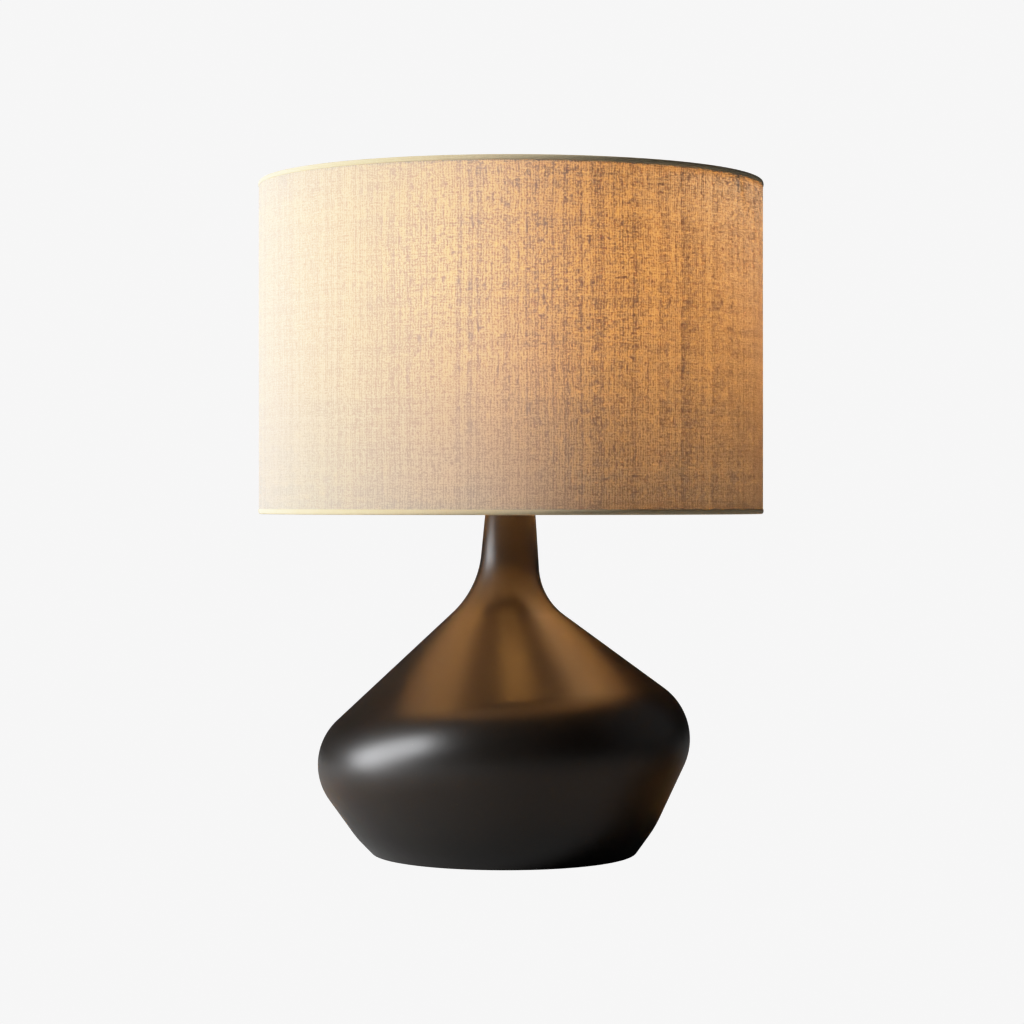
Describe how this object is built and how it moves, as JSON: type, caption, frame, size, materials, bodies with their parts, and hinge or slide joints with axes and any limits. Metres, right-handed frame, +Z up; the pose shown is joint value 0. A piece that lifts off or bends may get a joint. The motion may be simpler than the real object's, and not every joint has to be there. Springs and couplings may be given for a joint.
{
  "type": "table lamp with drum shade",
  "caption": "Table lamp: lopsided glazed ceramic body, linen drum shade on a harp and spider, screw-in bulb in a socket with a turn-knob switch, cord inlet at the back.",
  "frame": {"origin": "on the table, at the centre of the bottom, under the axis of the shade, neck, socket and bulb", "axes": "+Z up, -X the side where the body's belly hangs low, +X the side where it rides high, +Y the back with the cord inlet, -Y the front with the switch knob"},
  "size_m": [0.356, 0.3558, 0.4745],
  "materials": {
    "glaze": "satin dark bronze-black glaze",
    "felt": "pale felt pad",
    "black_rubber": "matt black rubber",
    "zinc": "zinc-plated steel",
    "bronze": "dark bronze lacquer",
    "harp_wire": "antique brass plate",
    "socket_brass": "satin brass shell",
    "fibre": "insulating paperboard sleeve",
    "black_plastic": "black phenolic",
    "red_fibre": "vulcanised fibre",
    "bulb_metal": "rolled aluminium thread",
    "bulb_glass": "inside-frosted glass",
    "bulb_insulator": "black vitrite glass",
    "solder": "dull solder",
    "stem_glass": "clear lead glass",
    "filament": "tungsten coil, emissive when lit",
    "shade_wire": "nickel-look lacquered wire",
    "lining": "white styrene lining",
    "linen": "slubbed oatmeal linen"
  },
  "bodies": {
    "base": {"felt_pad": "felt", "ceramic_body": "glaze", "cord_grommet": "black_rubber", "bottom_washer": "zinc", "bottom_lock_washer": "zinc", "bottom_nut": "zinc", "lamp_pipe": "zinc", "neck_gasket": "black_rubber", "neck_cap": "bronze", "top_nut": "bronze", "harp_saddle": "harp_wire", "socket_cap": "socket_brass", "socket_set_screw": "zinc", "socket_shell": "socket_brass", "socket_liner": "fibre", "socket_core": "black_plastic", "screw_shell": "bulb_metal", "screw_shell_rivets": "socket_brass", "centre_contact": "socket_brass", "terminal_screws": "socket_brass"},
    "switch": {"switch_rotor": "red_fibre", "switch_spindle": "zinc", "switch_knob": "black_plastic"},
    "bulb": {"bulb_glass": "bulb_glass", "bulb_cap": "bulb_metal", "bulb_insulator": "bulb_insulator", "bulb_contact": "solder", "bulb_stem": "stem_glass", "bulb_filament": "filament"},
    "harp": {"harp": "harp_wire"},
    "sleeve_left": {"harp_sleeve_left": "harp_wire"},
    "sleeve_right": {"harp_sleeve_right": "harp_wire"},
    "seat": {"harp_seat": "harp_wire"},
    "shade": {"shade_spider_hub": "shade_wire", "shade_spider_arms": "shade_wire", "shade_top_ring": "shade_wire", "shade_bottom_ring": "shade_wire", "shade_liner": "lining", "shade_fabric": "linen", "shade_top_hem": "linen", "shade_bottom_hem": "linen"},
    "finial": {"finial": "bronze"}
  },
  "joints": [
    {"name": "switch_turn", "type": "hinge", "parent": "base", "child": "switch", "pos_m": [0, -0.018, 0.3], "axis": [0, -1, 0], "continuous": true},
    {"name": "bulb_turn", "type": "hinge", "parent": "base", "child": "bulb", "pos_m": [0, 0, 0.31], "axis": [0, 0, 1], "continuous": true},
    {"name": "harp_lift", "type": "slide", "parent": "base", "child": "harp", "axis": [0, 0, 1], "range_m": [0, 0.15]},
    {"name": "sleeve_left_lift", "type": "slide", "parent": "harp", "child": "sleeve_left", "axis": [0, 0, 1], "range_m": [0, 0.014]},
    {"name": "sleeve_right_lift", "type": "slide", "parent": "harp", "child": "sleeve_right", "axis": [0, 0, 1], "range_m": [0, 0.014]},
    {"name": "shade_turn", "type": "hinge", "parent": "harp", "child": "seat", "pos_m": [0, 0, 0.449], "axis": [0, 0, 1], "continuous": true},
    {"name": "shade_lift", "type": "slide", "parent": "seat", "child": "shade", "axis": [0, 0, 1], "range_m": [0, 0.24]},
    {"name": "finial_turn", "type": "hinge", "parent": "shade", "child": "finial", "pos_m": [0, 0, 0.46], "axis": [0, 0, 1], "continuous": true}
  ]
}
